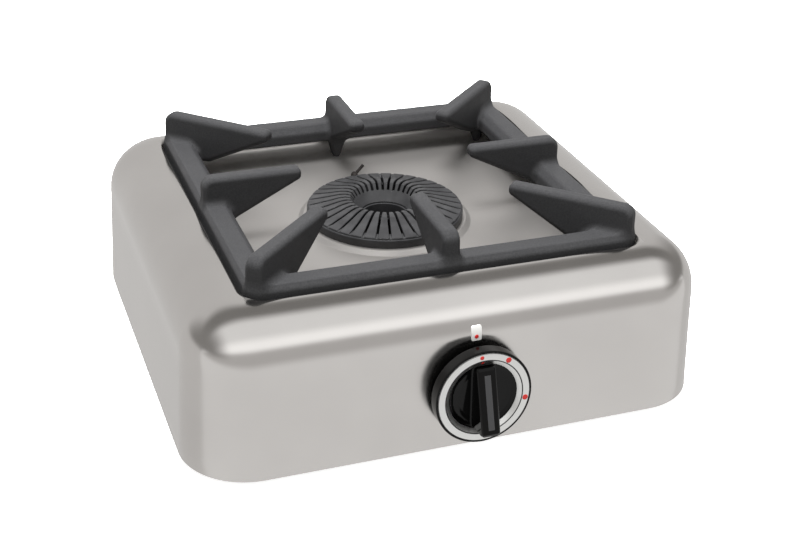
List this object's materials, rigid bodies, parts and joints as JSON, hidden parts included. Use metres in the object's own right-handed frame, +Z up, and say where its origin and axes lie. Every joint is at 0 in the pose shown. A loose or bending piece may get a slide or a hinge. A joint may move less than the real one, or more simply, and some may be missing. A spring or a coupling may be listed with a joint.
{
  "type": "single-burner tabletop gas stove",
  "caption": "Hose-fed tabletop gas stove: pressed shell with a sunk well, lift-off cast pan support and slotted burner cap, push-and-turn tap with knob, inner gas line",
  "frame": {"origin": "on the standing surface, under the middle of the shell", "axes": "+Z up; the front, with the knob, faces -Y; +X is to the right seen from the front"},
  "size_m": [0.337, 0.3648, 0.1303],
  "materials": {
    "stainless_shell": "satin brushed stainless steel",
    "zinc_plate": "zinc-plated steel, dull",
    "steel_screw": "zinc-plated steel",
    "foot_rubber": "matt black rubber",
    "white_paint": "white printed plate with a red dot",
    "cast_iron_enamel": "matt black enamelled cast iron",
    "burner_enamel": "dark satin enamelled casting",
    "cast_aluminium": "raw die-cast aluminium",
    "brass": "turned brass",
    "copper": "drawn copper tube",
    "spring_steel": "bright spring steel",
    "knob_black": "glossy black moulding",
    "dial_silver": "satin silver with red dots",
    "inlay_grey": "dark grey strip"
  },
  "bodies": {
    "stove": {"body_shell": "stainless_shell", "base_plate": "zinc_plate", "base_screws": "steel_screw", "rubber_feet": "foot_rubber", "foot_screws": "steel_screw", "index_mark": "white_paint", "burner_cup": "burner_enamel", "burner_clamp_ring": "zinc_plate", "burner_clamp_screws": "steel_screw", "mixing_tube": "cast_aluminium", "injector": "brass", "injector_holder": "brass", "gas_tap_body": "brass", "tap_neck_nut": "steel_screw", "magnet_unit": "zinc_plate", "feed_pipe": "copper", "supply_pipe": "copper", "pipe_nuts": "brass", "inlet_locknut": "brass", "hose_nozzle": "brass", "thermocouple_probe": "spring_steel", "probe_nut": "brass", "thermocouple_lead": "copper", "thermocouple_nut": "brass"},
    "pan_support_body": {"pan_support": "cast_iron_enamel"},
    "burner_cap_body": {"burner_cap": "burner_enamel"},
    "tap_plug_body": {"tap_plug": "brass", "tap_spring": "spring_steel"},
    "knob_body": {"knob": "knob_black", "dial_ring": "dial_silver", "grip_inlay": "inlay_grey", "spindle": "spring_steel"},
    "air_shutter_body": {"air_shutter": "brass"}
  },
  "joints": [
    {"name": "pan_support_lift", "type": "slide", "parent": "stove", "child": "pan_support_body", "axis": [0, 0, 1], "range_m": [0, 0.12]},
    {"name": "burner_cap_lift", "type": "slide", "parent": "stove", "child": "burner_cap_body", "axis": [0, 0, 1], "range_m": [0, 0.1]},
    {"name": "knob_turn", "type": "hinge", "parent": "stove", "child": "tap_plug_body", "pos_m": [0.005, -0.15544, 0.0434], "axis": [0, -0.9989, 0.0471], "range_deg": [0, 92]},
    {"name": "knob_push", "type": "slide", "parent": "tap_plug_body", "child": "knob_body", "axis": [0, 0.9989, -0.0471], "range_m": [0, 0.004], "stiffness_N_per_m": 800, "springref_m": -0.002, "deforming": ["tap_spring"]},
    {"name": "air_shutter_turn", "type": "hinge", "parent": "stove", "child": "air_shutter_body", "pos_m": [0.118, 0, 0.0418], "axis": [1, 0, 0], "range_deg": [0, 60]}
  ]
}
